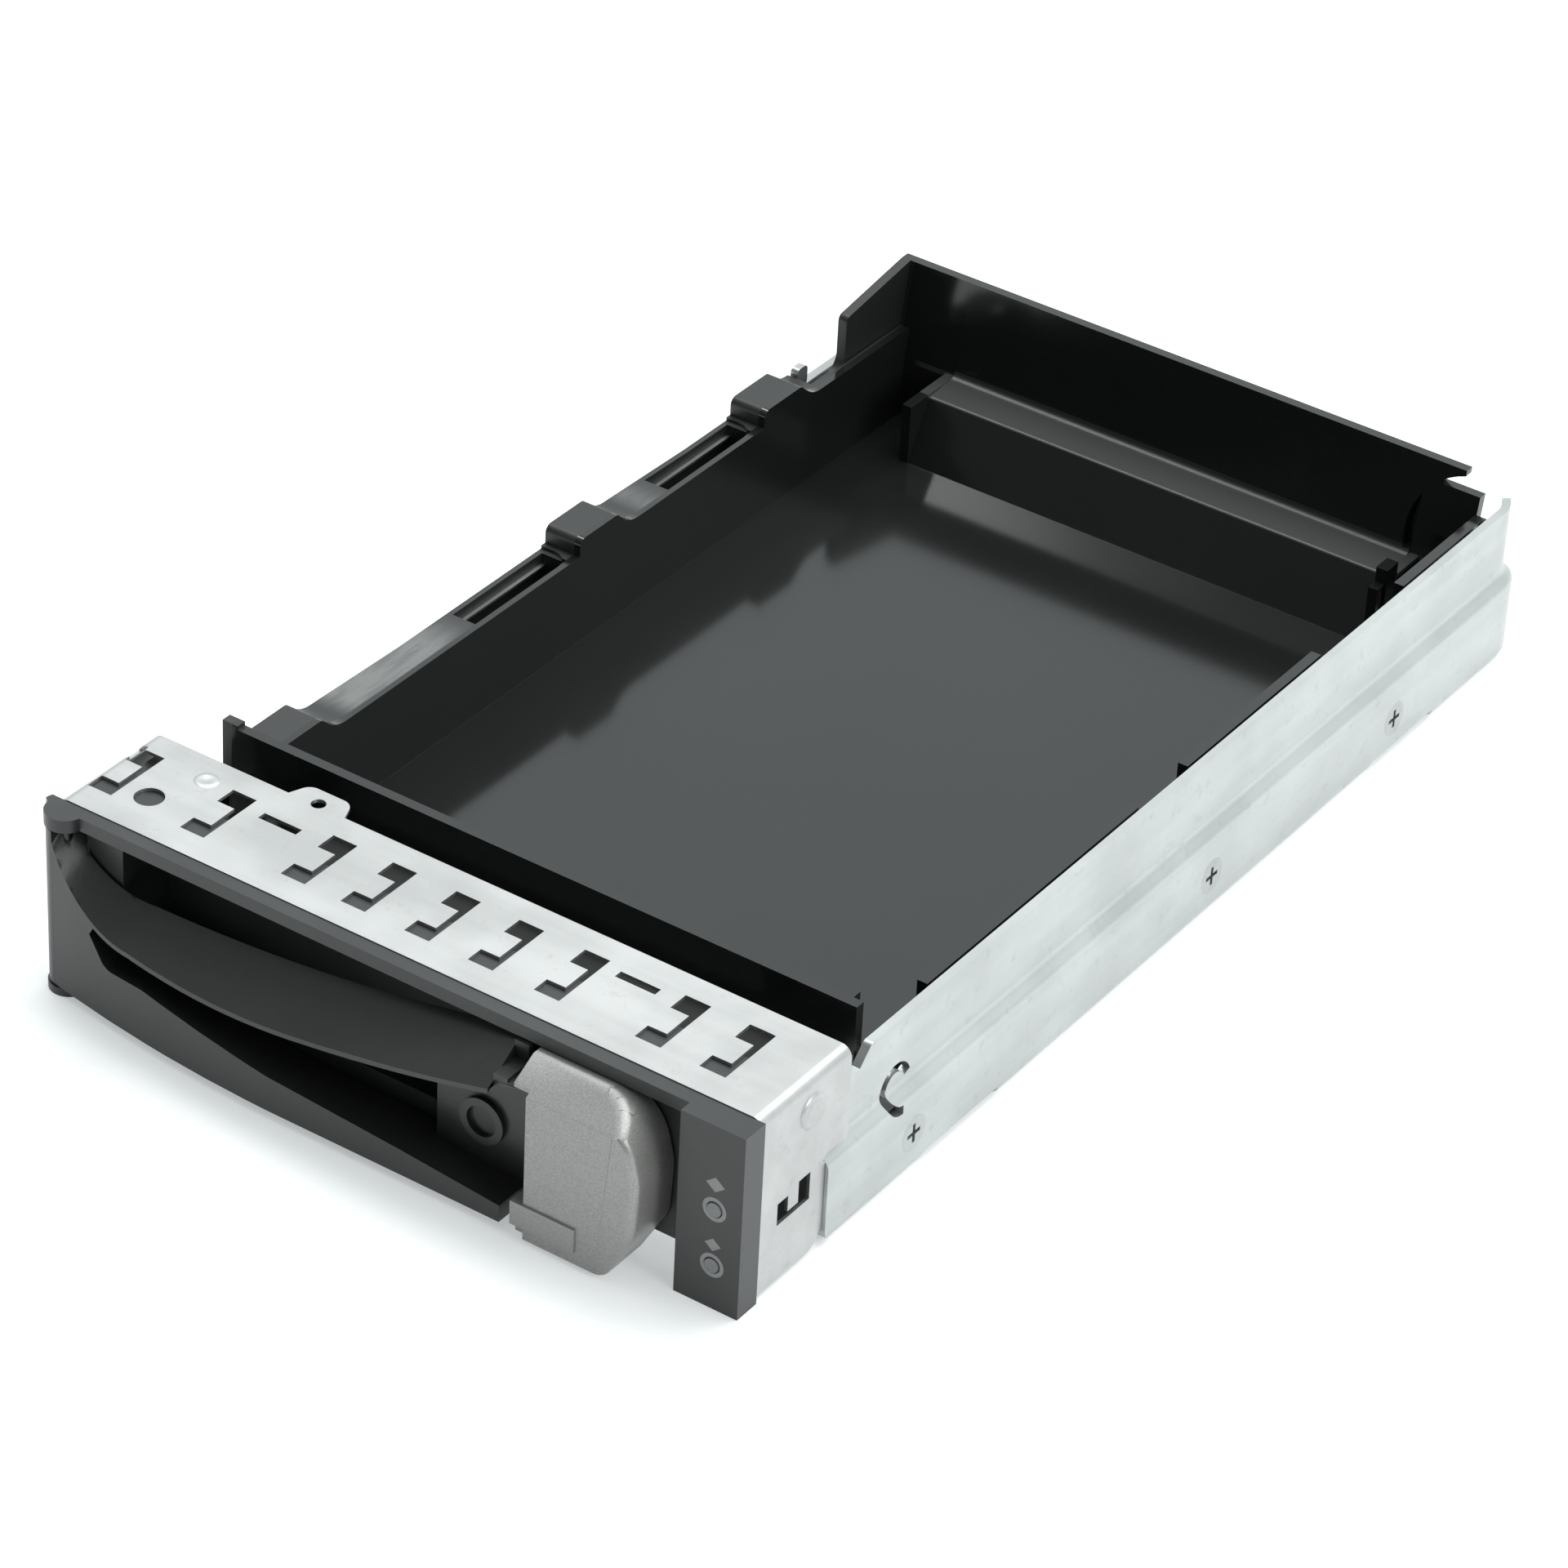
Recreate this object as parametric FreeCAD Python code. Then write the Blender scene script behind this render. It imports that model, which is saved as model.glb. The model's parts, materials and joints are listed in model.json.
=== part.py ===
"""Hot swap drive caddy with a moulded blank in its drive space.

+X is the right-hand side seen from the front, +Y runs to the rear and +Z is up.
The sizes below are measured from the front edge of the shield (Y) and from the
caddy's middle (X). The finished pieces are moved so that the origin is the centre
of the footprint, on the surface that the rails stand on.
"""
import FreeCAD, Part
from FreeCAD import Vector as V
import math
import os

# Rails
rail_span = 109.0            # over the lower bands
rail_sheet = 1.2
fold_radius = 1.6            # outer radius of every fold
rail_jog = 1.5               # step between the lower and the upper band
jog_height = 12.2
right_band_top = 24.0
left_band_top = 13.5
rail_start = 14.0
rail_straight_end = 180.0
lead_in_radius = 8.0
lead_in_angle = 38.0
foot_flange = 5.5
tab_height = 7.7
tab_start, tab_end, tab_fall = 4.2, 22.0, 2.4
tab_corner = 1.5
foot_gaps = ((35.0, 52.6), (145.0, 162.0))
foot_gap_height = 1.5
stop_start, stop_end, stop_top = 160.0, 162.6, 16.8
stamp_y, stamp_z, stamp_radius, stamp_slot = 30.2, 14.0, 3.4, 1.3

# Shield
shield_gap = 0.5             # from a rail's upper band to the shield's side
shield_sheet = 0.5
shield_top = 27.35
shield_depth = 18.5
shield_low_depth = 13.5
shield_bottom = 0.7
finger_shares = (-0.944, -0.667, -0.370, -0.196, -0.013, 0.167, 0.352, 0.631, 0.807)
finger_width, finger_slit = 3.8, 1.0
finger_front, finger_rear = (4.2, 6.9), (11.5, 14.7)
slot_places = ((-0.530, 12.5), (0.485, 13.1))
slot_length, slot_width = 6.0, 1.3
hole_share, hole_y, hole_radius = -0.835, 6.9, 2.0
ear_share, ear_width, ear_reach, ear_hole_radius = -0.511, 9.0, 3.0, 1.0
bend_slot_start, bend_slot_end, bend_slot_reach = 12.4, 15.4, 1.7
side_finger_z = 11.6

# Bezel
bezel_gap = 0.5              # from the shield's side to the bezel's
bezel_wall = 1.8
bezel_floor = 1.2
bezel_skin = 2.0
bezel_depth = 18.0
lug_start = 5.0
lip_reach, lip_thick, lip_drop = 2.2, 1.9, 0.15
roof_depth = 9.6
block_width, block_reach, block_gap = 9.4, 4.0, 0.2
notch_width, notch_height = 10.9, 4.0
window_inset, window_radius = 4.0, 1.0
window_heights = (("upper", 14.9), ("lower", 6.5))
window_collar_radius, window_collar = 1.6, 1.2
hinge_block_width, hinge_block_depth = 6.0, 3.8

# Lever and latch
pin_inset, pin_y, pin_radius = 2.3, -1.4, 0.8
pin_cover = 0.9              # bezel left over the pin's top end
knuckle_radius = 2.6
ear_wall = 1.0
lever_lift = 0.2
lever_back = -0.4
bow_y = -8.0
crest_y = -1.0               # plane on which the crest's heights are given
crest_low, crest_middle, crest_run = 17.3, 19.4, 4.7
lever_lean = 0.66            # fall of the upper bar for each mm forward
band_thick = 2.4
lower_bar, panel_foot = 5.6, 3.6
panel_width, panel_depth = 16.2, 3.2
end_bar_low, end_bar_high = 20.4, 22.4
ring_inset, ring_z, ring_radius, ring_bore = 9.0, 10.9, 3.3, 2.2
spring_wire, spring_mean_radius = 0.4, 1.2
spring_bottom, spring_top = 9.8, 13.8
spring_leg = 4.0
latch_gap = 0.3
latch_inset, latch_width = 3.1, 17.3
latch_reach, grip_rise = 8.2, 0.3
latch_bottom = 0.8
latch_travel = 2.5
latch_lip = 2.3              # how far the latch's lips reach past the lever's end
upper_lip, lower_lip = 2.8, 5.3
grip_width, grip_height = 11.3, 3.5
shank_inset, shank_width = 5.5, 6.0
shank_bottom, shank_top = 10.0, 16.0
foot_edge = 1.6
foot_thick = 4.0
spring_room = 4.0            # for the return spring when the latch is pressed home
return_radius, return_wire = 1.6, 0.4
post_thick = 1.6

# Blank
blank_gap = 0.2              # from a rail's foot flange to the blank's side
blank_skin = 1.5
floor_top = 1.7
front_wall_y, front_wall_top = 27.1, 25.9
corner_ear, corner_ear_rise = 1.0, 0.6
rim_top = 15.7
rim_pocket, rim_lip, pocket_ramp, pocket_corner = 0.5, 0.9, 18.0, 3.0
rear_rim_top = 14.4
boss_ranges = ((35.5, 44.4), (101.2, 109.8), (145.3, 154.4))
boss_height, boss_fall, boss_sweep, boss_round = 18.4, 3.0, 5.5, 1.2
screw_block, screw_block_depth = 12.0, 3.8
screw_block_low = 8.6
right_wall_top = 20.3
right_dips = ((28.6, 43.0), (92.0, 104.0), (138.0, 160.0))
dip_height = 13.0
floor_end = 170.0
ledge_y, ledge_z, ledge_inset, ledge_rear = 174.8, 10.7, 10.4, 181.4
rear_top_y, rear_top_z = 184.2, 25.5
rear_overhang, rear_inset = 1.7, 4.4
rear_arc, rear_arc_inset, rear_arc_z = 10.6, 3.0, 14.5
rear_steps = ((6.0, 2.8, 22.5), (-1.6, 5.6, 19.0))
post_width, post_depth, post_rise = 1.8, 3.0, 2.8
cheek_front_y, cheek_front_z, cheek_sweep = 168.0, 22.9, 2.5

# Screws
screw_radius, screw_head_radius, screw_head = 1.5, 2.6, 1.1
screw_length = 7.0
screw_sides = 12
recess_depth, recess_reach, recess_half = 0.8, 1.4, 0.3
screw_places = (("front", 33.0), ("middle", 103.0), ("rear", 150.5))
screw_height = 5.9
bezel_screw_places = (("front", 8.0), ("rear", 14.5))

# Fits
touch = 0.02                 # between parts that bear on each other's curved faces
play = 0.1                   # round a part that turns or slides
clear = 0.3                  # between parts that must not meet
past = 5.0                   # how far a cut runs out of the piece

# Worked out, across the caddy
rail_half = rail_span / 2
band_half = rail_half - rail_jog
cheek_outer = band_half - rail_sheet
boss_outer = rail_half - rail_sheet
shield_half = band_half + shield_gap + shield_sheet
bezel_half = shield_half - shield_sheet - bezel_gap
wide = rail_half + past
pin_x = -(shield_half - pin_inset)
ear_radius = knuckle_radius + ear_wall
block_right = rail_half - block_gap
block_left = block_right - block_width
window_x = block_right - window_inset
latch_right = block_left - latch_inset
latch_left = latch_right - latch_width
lever_end = latch_left - latch_gap
lever_length = lever_end - pin_x
panel_left = lever_end - panel_width
shank_left = latch_left + shank_inset
shank_right = shank_left + shank_width
blank_half = rail_half - foot_flange - blank_gap
blank_inner = blank_half - blank_skin
ledge_half = blank_half - ledge_inset
rear_left = -(blank_half + rear_overhang)
rear_right = blank_half - rear_inset

# Worked out, in height
jog_top = jog_height + rail_jog
tab_bottom = jog_top + 0.2
tab_top = tab_bottom + tab_height
tab_middle = (tab_bottom + tab_top) / 2
shield_low_height = jog_top + clear
lip_top = shield_top - lip_drop
lip_bottom = lip_top - lip_thick
lever_bottom, lever_top = bezel_floor + lever_lift, lip_bottom - clear
latch_top = lever_top
pin_length = lip_top - pin_cover - 2 * lever_lift
leg_z = spring_top - spring_wire / 2
shank_middle = (shank_bottom + shank_top) / 2
blank_bottom = floor_top - blank_skin
boss_bottom = fold_radius + clear
block_top = jog_height - 1.0
rim_low = left_band_top + clear

# Worked out, from front to rear
return_y = bezel_skin + play + foot_thick / 2
rail_rear = rail_straight_end + lead_in_radius * math.sin(math.radians(lead_in_angle))
left_extent = pin_x - ear_radius
front_extent = -(latch_reach + grip_rise)
rear_extent = max(rail_rear, rear_top_y + blank_skin)
centre = V(-(rail_half + left_extent) / 2, -(front_extent + rear_extent) / 2, 0)

X, Y, Z = V(1, 0, 0), V(0, 1, 0), V(0, 0, 1)


def box(x0, x1, y0, y1, z0, z1):
    return Part.makeBox(x1 - x0, y1 - y0, z1 - z0, V(x0, y0, z0))


def rod(start, axis, length, radius):
    return Part.makeCylinder(radius, length, V(*start), axis)


def solid(shape):
    return shape.Solids[0] if len(shape.Solids) == 1 else shape


def fuse(*shapes):
    return solid(shapes[0].multiFuse(list(shapes[1:])).removeSplitter())


def cut(shape, *tools):
    return solid(shape.cut(list(tools)))


def mirrored(shape):
    return shape.mirror(V(0, 0, 0), X)


def rounded_path(points, radii, closed):
    """Edges through the points, with an arc of its own radius at each corner."""
    count = len(points)
    corners = range(count) if closed else range(1, count - 1)
    ends = {}
    for i in corners:
        before, here, after = points[i - 1], points[i], points[(i + 1) % count]
        to_before = (before - here).normalize()
        to_after = (after - here).normalize()
        if radii[i] <= 0:
            ends[i] = (here, here, None)
            continue
        half = to_before.getAngle(to_after) / 2
        back = radii[i] / math.tan(half)
        inward = (to_before + to_after).normalize()
        middle = here + inward * (radii[i] / math.sin(half) - radii[i])
        ends[i] = (here + to_before * back, here + to_after * back, middle)
    if not closed:
        ends[0] = (points[0], points[0], None)
        ends[count - 1] = (points[-1], points[-1], None)
    edges = []
    for i in range(count):
        first, last, middle = ends[i]
        if middle is not None:
            edges.append(Part.Arc(first, middle, last).toShape())
        if closed or i < count - 1:
            following = ends[(i + 1) % count][0]
            if last.distanceToPoint(following) > 1e-6:
                edges.append(Part.makeLine(last, following))
    return Part.Wire(edges)


def prism(points, along, radii=None):
    """Closed outline, with rounded corners where radii are given, extruded along a vector."""
    corners = [V(*p) for p in points]
    wire = rounded_path(corners, radii or [0] * len(corners), True)
    return Part.Face(wire).extrude(along)


def sheet(points, offset):
    """Section of a folded sheet whose outer face follows the points; the offset is its thickness."""
    corners = [V(*p) for p in points]
    path = rounded_path(corners, [fold_radius] * len(corners), False)
    return path.makeOffset2D(offset, 0, True, True)


def front_view(points, y0, y1, radii=None):
    return prism([(x, y0, z) for x, z in points], Y * (y1 - y0), radii)


def side_view(points, x0, x1, radii=None):
    return prism([(x0, y, z) for y, z in points], X * (x1 - x0), radii)


def plan_view(points, z0, z1, radii=None):
    return prism([(x, y, z0) for x, y in points], Z * (z1 - z0), radii)


def few_sided(start, axis, length, first, last, sides):
    """Round form with few sides, between two radii, for small pieces that repeat."""
    side = axis.cross(X if abs(axis.x) < 0.5 else Z).normalize()
    up = axis.cross(side)
    rings = []
    for offset, radius in ((0, first), (length, last)):
        angles = [2 * math.pi * (i + 0.5) / sides for i in range(sides)]
        rings.append([V(*start) + axis * offset + (side * math.cos(a) + up * math.sin(a)) * radius
                      for a in angles])
    near, far = rings
    faces = [Part.Face(Part.makePolygon(ring + ring[:1])) for ring in rings]
    for i in range(sides):
        corners = [near[i - 1], near[i], far[i], far[i - 1], near[i - 1]]
        faces.append(Part.Face(Part.makePolygon(corners)))
    return Part.makeSolid(Part.makeShell(faces))


def screw_cutter(y, z, face, length, gap, shank_gap):
    """Countersink and bore of a right-hand screw whose head lies in the face at X = face."""
    head = few_sided((face - screw_head, y, z), X, screw_head, screw_radius + gap, screw_head_radius + gap,
                     screw_sides)
    shank_radius = screw_radius + shank_gap
    shank = few_sided((face - length, y, z), X, length - screw_head, shank_radius, shank_radius, screw_sides)
    return head, shank


def screw(y, z, face, length):
    head, shank = screw_cutter(y, z, face, length, 0, 0)
    recess = [box(face - recess_depth, face + 1, y - across, y + across, z - up, z + up)
              for across, up in ((recess_reach, recess_half), (recess_half, recess_reach))]
    return cut(fuse(head, shank), *recess)


def rail(band_top):
    """Right-hand rail: a foot flange, a lower band, a jog and an upper band, with a front tab."""
    profile = [(band_half, 0, max(band_top, tab_top)), (band_half, 0, jog_top), (rail_half, 0, jog_height),
               (rail_half, 0, 0), (rail_half - foot_flange, 0, 0)]
    section = sheet(profile, -rail_sheet)
    section.translate(Y * rail_straight_end)
    body = section.extrude(-Y * (rail_straight_end - tab_start))
    lead_in = section.revolve(V(rail_half - lead_in_radius, rail_straight_end, 0), Z, lead_in_angle)
    end = rail_rear + past
    outline = [(tab_start, tab_bottom), (rail_start, tab_bottom), (rail_start, 0)]
    radii = [tab_corner, 0, 2.5]
    for gap_start, gap_end in foot_gaps:
        outline += [(gap_start, 0), (gap_start, foot_gap_height), (gap_end, foot_gap_height), (gap_end, 0)]
        radii += [0, 0.8, 0.8, 0]
    outline += [(end, 0), (end, band_top)]
    radii += [0, 0]
    if band_top > tab_top:
        outline += [(tab_end + tab_fall, band_top), (tab_end, tab_top), (tab_start, tab_top)]
        radii += [1.0, 0, tab_corner]
    else:
        outline += [(stop_end, band_top), (stop_end, stop_top), (stop_start, stop_top),
                    (stop_start, band_top), (tab_end + 2 * tab_fall, band_top), (tab_end, tab_top),
                    (tab_start, tab_top)]
        radii += [0, 0.8, 0.8, 0, 0, 0, tab_corner]
    body = fuse(body, lead_in).common(side_view(outline, 0, wide, radii))
    tools = [box(0, rail_half - fold_radius, floor_end - 2 * blank_skin, end, -1, fold_radius)]
    if band_top > tab_top:
        tools.append(stamped_mark())
    for _, y in screw_places:
        tools += screw_cutter(y, screw_height, rail_half, 2 * screw_length, touch, play)
    for _, y in bezel_screw_places:
        tools += screw_cutter(y, tab_middle, band_half, 2 * screw_length, touch, play)
    return cut(body, *tools)


def stamped_mark():
    """Cutter for the mark stamped through the rail: a ring that stays open to the rear."""
    ring = cut(rod((0, stamp_y, stamp_z), X, wide, stamp_radius),
               rod((0, stamp_y, stamp_z), X, wide, stamp_radius - stamp_slot))
    gap = side_view([(stamp_y, stamp_z), (stamp_y + 9, stamp_z + 3), (stamp_y + 9, stamp_z - 9),
                     (stamp_y, stamp_z - 9)], 0, wide)
    return ring.cut(gap)


def finger(x, y_front, y_rear, width, slit):
    """C-shaped cut that frees a spring finger: two windows joined by a slit on the +X side."""
    left, right = x - width / 2, x + width / 2
    low, high = shield_top - past, shield_top + past
    spans = ((left, y_front), (left, y_rear), (right - slit, (y_front[0], y_rear[1])))
    return [box(start, right, y[0], y[1], low, high) for start, y in spans]


def emi_shield():
    profile = [(shield_half, 0, 0), (shield_half, 0, shield_top), (-shield_half, 0, shield_top),
               (-shield_half, 0, 0)]
    body = sheet(profile, shield_sheet).extrude(Y * shield_depth)
    side = [(-1, shield_bottom), (shield_low_depth, shield_bottom), (shield_low_depth, shield_low_height),
            (shield_depth + 1, shield_low_height), (shield_depth + 1, 40), (-1, 40)]
    body = body.common(side_view(side, -wide, wide, [0, 3.0, 1.0, 0, 0, 0]))
    plate_low, over = shield_top - shield_sheet, shield_top + past
    ear_x = ear_share * shield_half
    ear_left, ear_right, ear_rear = ear_x - ear_width / 2, ear_x + ear_width / 2, shield_depth + ear_reach
    ear = plan_view([(ear_left, shield_depth - 2), (ear_right, shield_depth - 2), (ear_right, shield_depth),
                     (ear_right - 1.2, ear_rear), (ear_left + 1.2, ear_rear), (ear_left, shield_depth)],
                    plate_low, shield_top, [0, 0, 0, 1.8, 1.8, 0])
    body = fuse(body, ear)
    front_trim = -pin_y + clear
    tools = [box(-shield_half - 1, -shield_half + 2, -1, front_trim, -1, lip_bottom)]
    for share in finger_shares:
        tools += finger(share * shield_half, finger_front, finger_rear, finger_width, finger_slit)
    for share, y in slot_places:
        x = share * shield_half
        tools.append(box(x - slot_length / 2, x + slot_length / 2, y - slot_width / 2, y + slot_width / 2,
                         shield_top - past, over))
    tools.append(rod((hole_share * shield_half, hole_y, shield_top - past), Z, 2 * past, hole_radius))
    tools.append(rod((ear_x, shield_depth + 0.4, shield_top - past), Z, 2 * past, ear_hole_radius))
    tools.append(box(-shield_half - 1, -shield_half + bend_slot_reach, bend_slot_start, bend_slot_end,
                     shield_top - 1.1, over))
    for side_x in (-shield_half, shield_half):
        low, high = side_finger_z - 1.5, side_finger_z + 1.7
        tools.append(box(side_x - 1, side_x + 1, 4.0, 6.2, low, high - 0.8))
        tools.append(box(side_x - 1, side_x + 1, 8.4, 10.8, low, high))
        tools.append(box(side_x - 1, side_x + 1, 4.0, 10.8, low - 0.9, low))
    return cut(body, *tools)


def front_bezel():
    roof = shield_top - shield_sheet
    parts = [
        box(-bezel_half, bezel_half, 0, bezel_skin, 0, roof),
        box(-bezel_half, bezel_half, 0, roof_depth, roof - bezel_skin, roof),
        box(-bezel_half, bezel_half, 0, roof_depth, 0, bezel_wall),
        box(pin_x, block_right, -lip_reach, 0, lip_bottom, lip_top),
        box(block_left, block_right, -block_reach, 0, 0, lip_top),
        box(-bezel_half, pin_x + hinge_block_width, 0, hinge_block_depth, 0, roof),
    ]
    for bottom, top in ((0, bezel_floor), (lip_bottom, lip_top)):
        parts.append(rod((pin_x, pin_y, bottom), Z, top - bottom, ear_radius))
        parts.append(box(pin_x, pin_x + ear_radius, pin_y, 1, bottom, top))
    for side in (-1, 1):
        skin = box(cheek_outer - bezel_skin, cheek_outer, 0, bezel_depth, 0, roof - 1)
        lug = box(cheek_outer - screw_length, cheek_outer, lug_start, bezel_depth, tab_bottom, tab_top)
        parts += [skin, lug] if side > 0 else [mirrored(skin), mirrored(lug)]
    body = fuse(*parts)
    inside, rear = shield_half - shield_sheet, bezel_depth + past
    inside_shield = front_view([(-inside, -1), (inside, -1), (inside, roof), (-inside, roof)], 0, rear,
                               [0, 0, fold_radius - shield_sheet, fold_radius - shield_sheet])
    outside_shield = box(-wide, wide, 0, rear, -1, shield_top + past).cut(inside_shield)
    under_tab = box(-wide, wide, rail_start - clear, rear, -1, tab_bottom - clear)
    tools = [
        outside_shield, under_tab,
        rod((pin_x - spring_mean_radius, pin_y, leg_z), Y, spring_leg + 0.4, spring_wire / 2 + touch),
        rod((pin_x, pin_y, bezel_floor), Z, lip_bottom - bezel_floor, knuckle_radius + clear),
        rod((pin_x, pin_y, -1), Z, lip_top - pin_cover + 1, pin_radius + touch),
        box(block_left - notch_width, block_left, -past, rear, -1, notch_height),
        box(shank_left - play, shank_right + latch_travel + clear, -1, bezel_skin + 1,
            shank_bottom - play, shank_top + play),
    ]
    for _, z in window_heights:
        bore = block_reach + bezel_skin + 1.1
        tools.append(rod((window_x, -block_reach - 1, z), Y, bore, window_radius + play))
        tools.append(rod((window_x, bezel_skin, z), Y, 2.6, window_collar_radius + clear))
    for _, y in bezel_screw_places:
        head, shank = screw_cutter(y, tab_middle, band_half, screw_length, touch, touch)
        tools += [shank, mirrored(shank)]
    body = cut(body, *tools)
    post_x = shank_right + foot_edge + latch_travel + spring_room
    post = box(post_x, post_x + post_thick, bezel_skin - 0.5, bezel_skin + foot_thick + 1,
               shank_bottom, shank_top)
    return fuse(body, post)


def along_lever(share):
    """Distance from the caddy's middle at a share of the way from the pivot to the lever's end."""
    return pin_x + share * lever_length


def leaning_face(points, level):
    """Space under a swept crest: two arcs through the points, leaning forward and down."""
    back, bottom, reach = crest_y + 3.0, -40.0, 15.0
    rise = lever_lean * (back - crest_y) + level
    p = [V(x, back, z + rise) for x, z in points]
    low_end, low_start = V(p[4].x, back, bottom), V(p[0].x, back, bottom)
    edges = [Part.Arc(p[0], p[1], p[2]).toShape(), Part.Arc(p[2], p[3], p[4]).toShape(),
             Part.makeLine(p[4], low_end), Part.makeLine(low_end, low_start), Part.makeLine(low_start, p[0])]
    return Part.Face(Part.Wire(edges)).extrude(V(0, -reach, -lever_lean * reach))


def lever_block():
    """The lever's full height over its plan: a bow from the pivot, a straight front and a flat back."""
    start = V(pin_x - 0.2, pin_y - knuckle_radius, lever_bottom)
    bow_middle = V(along_lever(0.25), bow_y + 1.1, lever_bottom)
    bow_end = V(along_lever(0.54), bow_y, lever_bottom)
    tip = V(lever_end, bow_y + 0.1, lever_bottom)
    back_end, back_start = V(lever_end, lever_back, lever_bottom), V(start.x, lever_back, lever_bottom)
    edges = [Part.Arc(start, bow_middle, bow_end).toShape(), Part.makeLine(bow_end, tip),
             Part.makeLine(tip, back_end), Part.makeLine(back_end, back_start),
             Part.makeLine(back_start, start)]
    tall = lever_top - lever_bottom
    knuckle = rod((pin_x, pin_y, lever_bottom), Z, tall, knuckle_radius)
    return fuse(Part.Face(Part.Wire(edges)).extrude(Z * tall), knuckle)


def lever():
    """Bowed handle: its upper bar is a thin crescent that leans forward, its lower bar a plain bow."""
    front, rear = bow_y - past, past
    crest = [(pin_x - 0.3, lever_top + 0.4), (pin_x + 4.2, crest_low + 2.3), (along_lever(0.18), crest_low),
             (along_lever(0.55), crest_middle), (lever_end - crest_run, lever_top + 0.2)]
    under_top = leaning_face(crest, 0)
    under_band = leaning_face(crest, -band_thick)
    ends = fuse(box(-wide - past, crest[0][0], front, rear, 0, shield_top),
                box(crest[-1][0], lever_end + past, front, rear, 0, shield_top))
    body = lever_block().common(fuse(under_top, ends))
    band = under_top.cut(under_band).common(body)
    gap = [(along_lever(0.07), 12.8), (along_lever(0.128), 9.3), (along_lever(0.497), lower_bar),
           (panel_left, lower_bar - 0.4), (panel_left, lever_top), (along_lever(0.418), lever_top),
           (along_lever(0.088), crest_low - 0.3)]
    opening = front_view(gap, front, rear, [1.5, 3, 20, 0, 0, 0, 1.5])
    floor_y = lever_back - panel_depth + 1.0
    panel = front_view([(panel_left - 1, lower_bar - 0.4), (lever_end + 1, panel_foot),
                        (lever_end + 1, lever_top), (panel_left - 1, lever_top)], front, floor_y)
    ring_x = lever_end - ring_inset
    ring = cut(rod((ring_x, floor_y + 0.2, ring_z), -Y, 0.9, ring_radius),
               rod((ring_x, floor_y + 1, ring_z), -Y, 3, ring_bore))
    end_band = box(panel_left, lever_end, bow_y + 1.2, lever_back, end_bar_low, end_bar_high).common(body)
    body = fuse(cut(body, opening, panel), band, ring, end_band)
    low, high = spring_bottom - clear, spring_top + clear
    pocket = [rod((pin_x, pin_y, low), Z, high - low, spring_mean_radius + spring_wire),
              box(pin_x - 4, pin_x + 6, pin_y - clear, rear, low, high),
              box(pin_x - 4, pin_x, pin_y - 1.0, rear, low, high),
              rod((pin_x, pin_y, -1), Z, shield_top, pin_radius + play / 2)]
    lip_x, past_end = lever_end - latch_lip - clear, lever_end + 1
    lips = [box(lip_x, past_end, front, rear, -1, latch_bottom + lower_lip + clear),
            box(lip_x, past_end, front, rear, latch_top - upper_lip - clear, shield_top)]
    return cut(body, *(pocket + lips))


def latch():
    """Press button that slides to the right; its lips pass above and below the lever's end."""
    back = -clear
    outline = [(latch_left, latch_bottom), (latch_left, latch_top), (latch_right - 2.2, latch_top),
               (latch_right, latch_top - 9.0), (latch_right - 0.4, latch_bottom + 7.2),
               (latch_right - 4.4, latch_bottom)]
    face = front_view(outline, -latch_reach, back, [0, 0, 7.5, 8, 7, 0])
    lip_left, lip_front = lever_end - latch_lip, -latch_reach + 1.0
    lips = [box(lip_left, latch_left + 1, lip_front, back, latch_top - upper_lip, latch_top),
            box(lip_left, latch_left + 1, lip_front, back, latch_bottom, latch_bottom + lower_lip)]
    slope = side_view([(-latch_reach - 1, latch_top - 3.4), (-latch_reach + 0.4, latch_top - 2.5),
                       (-3.0, latch_top + 0.2), (-3.0, latch_top + 3), (-latch_reach - 1, latch_top + 3)],
                      lip_left - 1, latch_right + 1)
    lip_top_z = latch_bottom + lower_lip
    grip = box(lip_left, lip_left + grip_width, front_extent, -latch_reach + 1.5,
               lip_top_z - grip_height, lip_top_z)
    foot_y, foot_end = bezel_skin + play, shank_right + foot_edge
    shank = box(shank_left, shank_right, back - 0.5, foot_y, shank_bottom, shank_top)
    foot = box(shank_left, foot_end, foot_y, foot_y + foot_thick,
               shank_bottom - foot_edge, shank_top + foot_edge)
    spigot = rod((foot_end, return_y, shank_middle), X, 1.6, return_radius - return_wire - 0.1)
    return fuse(cut(fuse(face, *lips), slope), grip, shank, foot, spigot)


def coil(radius, wire, turns, length):
    """Coil spring about +Z as a chain of short straight lengths of six-sided wire."""
    per_turn = 10
    points = []
    steps = round(turns * per_turn)
    for i in range(steps + 1):
        angle = 2 * math.pi * i / per_turn
        points.append(V(radius * math.cos(angle), radius * math.sin(angle), length * i / steps))
    path = Part.makePolygon(points)
    along = (points[1] - points[0]).normalize()
    side = along.cross(Z).normalize()
    up = side.cross(along)
    ring = []
    for i in range(7):
        angle = math.pi * i / 3
        ring.append(points[0] + side * (wire / 2 * math.cos(angle)) + up * (wire / 2 * math.sin(angle)))
    return path.makePipeShell([Part.makePolygon(ring)], True, False, 1)


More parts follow.
